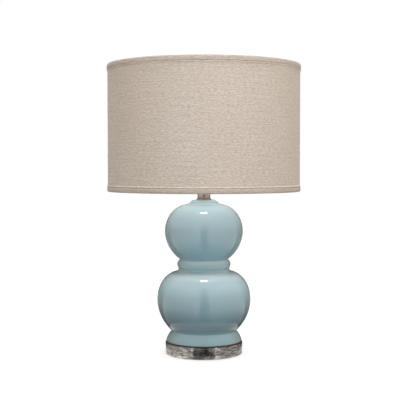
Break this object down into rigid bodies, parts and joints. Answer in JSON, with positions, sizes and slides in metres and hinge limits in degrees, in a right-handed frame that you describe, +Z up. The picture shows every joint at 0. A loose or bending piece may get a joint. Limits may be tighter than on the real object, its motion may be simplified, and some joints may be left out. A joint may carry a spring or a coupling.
{
  "type": "table lamp",
  "caption": "Table lamp with a double gourd ceramic body on a clear acrylic disc, and a linen drum shade held by a harp and finial.",
  "frame": {"origin": "on the lamp's axis at the level of the table, under the bumper feet", "axes": "+Z up along the lamp's axis; -Y is the front, where the switch knob points; +Y is the back, where the cord comes in; +X is the lamp's right as seen from the front"},
  "size_m": [0.3837, 0.3836, 0.5842],
  "materials": {
    "clear_bumper": "clear soft polyurethane",
    "clear_acrylic": "polished clear acrylic",
    "dark_gasket": "dark brown, matt",
    "aqua_glaze": "glossy pale aqua blue glaze",
    "grey_nylon": "moulded nylon",
    "zinc_steel": "zinc plated steel",
    "polished_nickel": "polished nickel plate",
    "satin_nickel": "satin nickel plate",
    "socket_paper": "vulcanised fibre paper",
    "black_phenolic": "moulded phenolic",
    "brass_parts": "stamped and turned brass",
    "black_knob": "moulded, glossy",
    "bulb_insulator": "black vitreous insulator",
    "bulb_aluminium": "rolled aluminium",
    "frosted_glass": "inside frosted",
    "white_styrene": "white styrene sheet",
    "slub_linen": "slubby linen weave, grey beige",
    "linen_trim": "folded linen tape"
  },
  "bodies": {
    "base": {"bumper_feet": "clear_bumper", "acrylic_base": "clear_acrylic", "base_gasket": "dark_gasket", "ceramic_body": "aqua_glaze", "cord_bushing": "grey_nylon", "lamp_pipe": "zinc_steel", "base_washer": "zinc_steel", "base_lock_washer": "zinc_steel", "base_nut": "zinc_steel", "centring_washer": "zinc_steel", "neck": "polished_nickel", "harp_saddle": "satin_nickel", "saddle_nut": "zinc_steel", "socket_cap": "polished_nickel", "socket_set_screw": "zinc_steel", "socket_shell": "polished_nickel", "socket_liner": "socket_paper", "socket_core": "black_phenolic", "terminal_screws": "brass_parts", "screw_shell": "brass_parts", "centre_contact": "brass_parts"},
    "switch_key": {"switch_spindle": "brass_parts", "switch_knob": "black_knob"},
    "bulb": {"bulb_contact": "bulb_insulator", "bulb_screw": "bulb_aluminium", "bulb_glass": "frosted_glass"},
    "harp": {"harp": "satin_nickel"},
    "sleeve_left": {"harp_sleeve_left": "polished_nickel"},
    "sleeve_right": {"harp_sleeve_right": "polished_nickel"},
    "stud": {"swivel_stud": "zinc_steel"},
    "shade": {"spider_hub": "satin_nickel", "spider_arms": "satin_nickel", "shade_top_ring": "satin_nickel", "shade_bottom_ring": "satin_nickel", "shade_liner": "white_styrene", "shade_fabric": "slub_linen", "shade_top_trim": "linen_trim", "shade_bottom_trim": "linen_trim"},
    "finial": {"finial": "polished_nickel"}
  },
  "joints": [
    {"name": "switch_turn", "type": "hinge", "parent": "base", "child": "switch_key", "pos_m": [0, -0.02, 0.3566], "axis": [0, -1, 0], "continuous": true},
    {"name": "bulb_lift", "type": "slide", "parent": "base", "child": "bulb", "axis": [0, 0, 1], "range_m": [0, 0.03]},
    {"name": "harp_lift", "type": "slide", "parent": "base", "child": "harp", "axis": [0, 0, 1], "range_m": [0, 0.03]},
    {"name": "sleeve_left_lift", "type": "slide", "parent": "harp", "child": "sleeve_left", "axis": [0, 0, 1], "range_m": [0, 0.014]},
    {"name": "sleeve_right_lift", "type": "slide", "parent": "harp", "child": "sleeve_right", "axis": [0, 0, 1], "range_m": [0, 0.014]},
    {"name": "shade_swivel", "type": "hinge", "parent": "harp", "child": "stud", "pos_m": [0, 0, 0.5545], "axis": [0, 0, 1], "continuous": true},
    {"name": "shade_lift", "type": "slide", "parent": "stud", "child": "shade", "axis": [0, 0, 1], "range_m": [0, 0.26]},
    {"name": "finial_turn", "type": "hinge", "parent": "shade", "child": "finial", "pos_m": [0, 0, 0.5632], "axis": [0, 0, 1], "continuous": true}
  ]
}
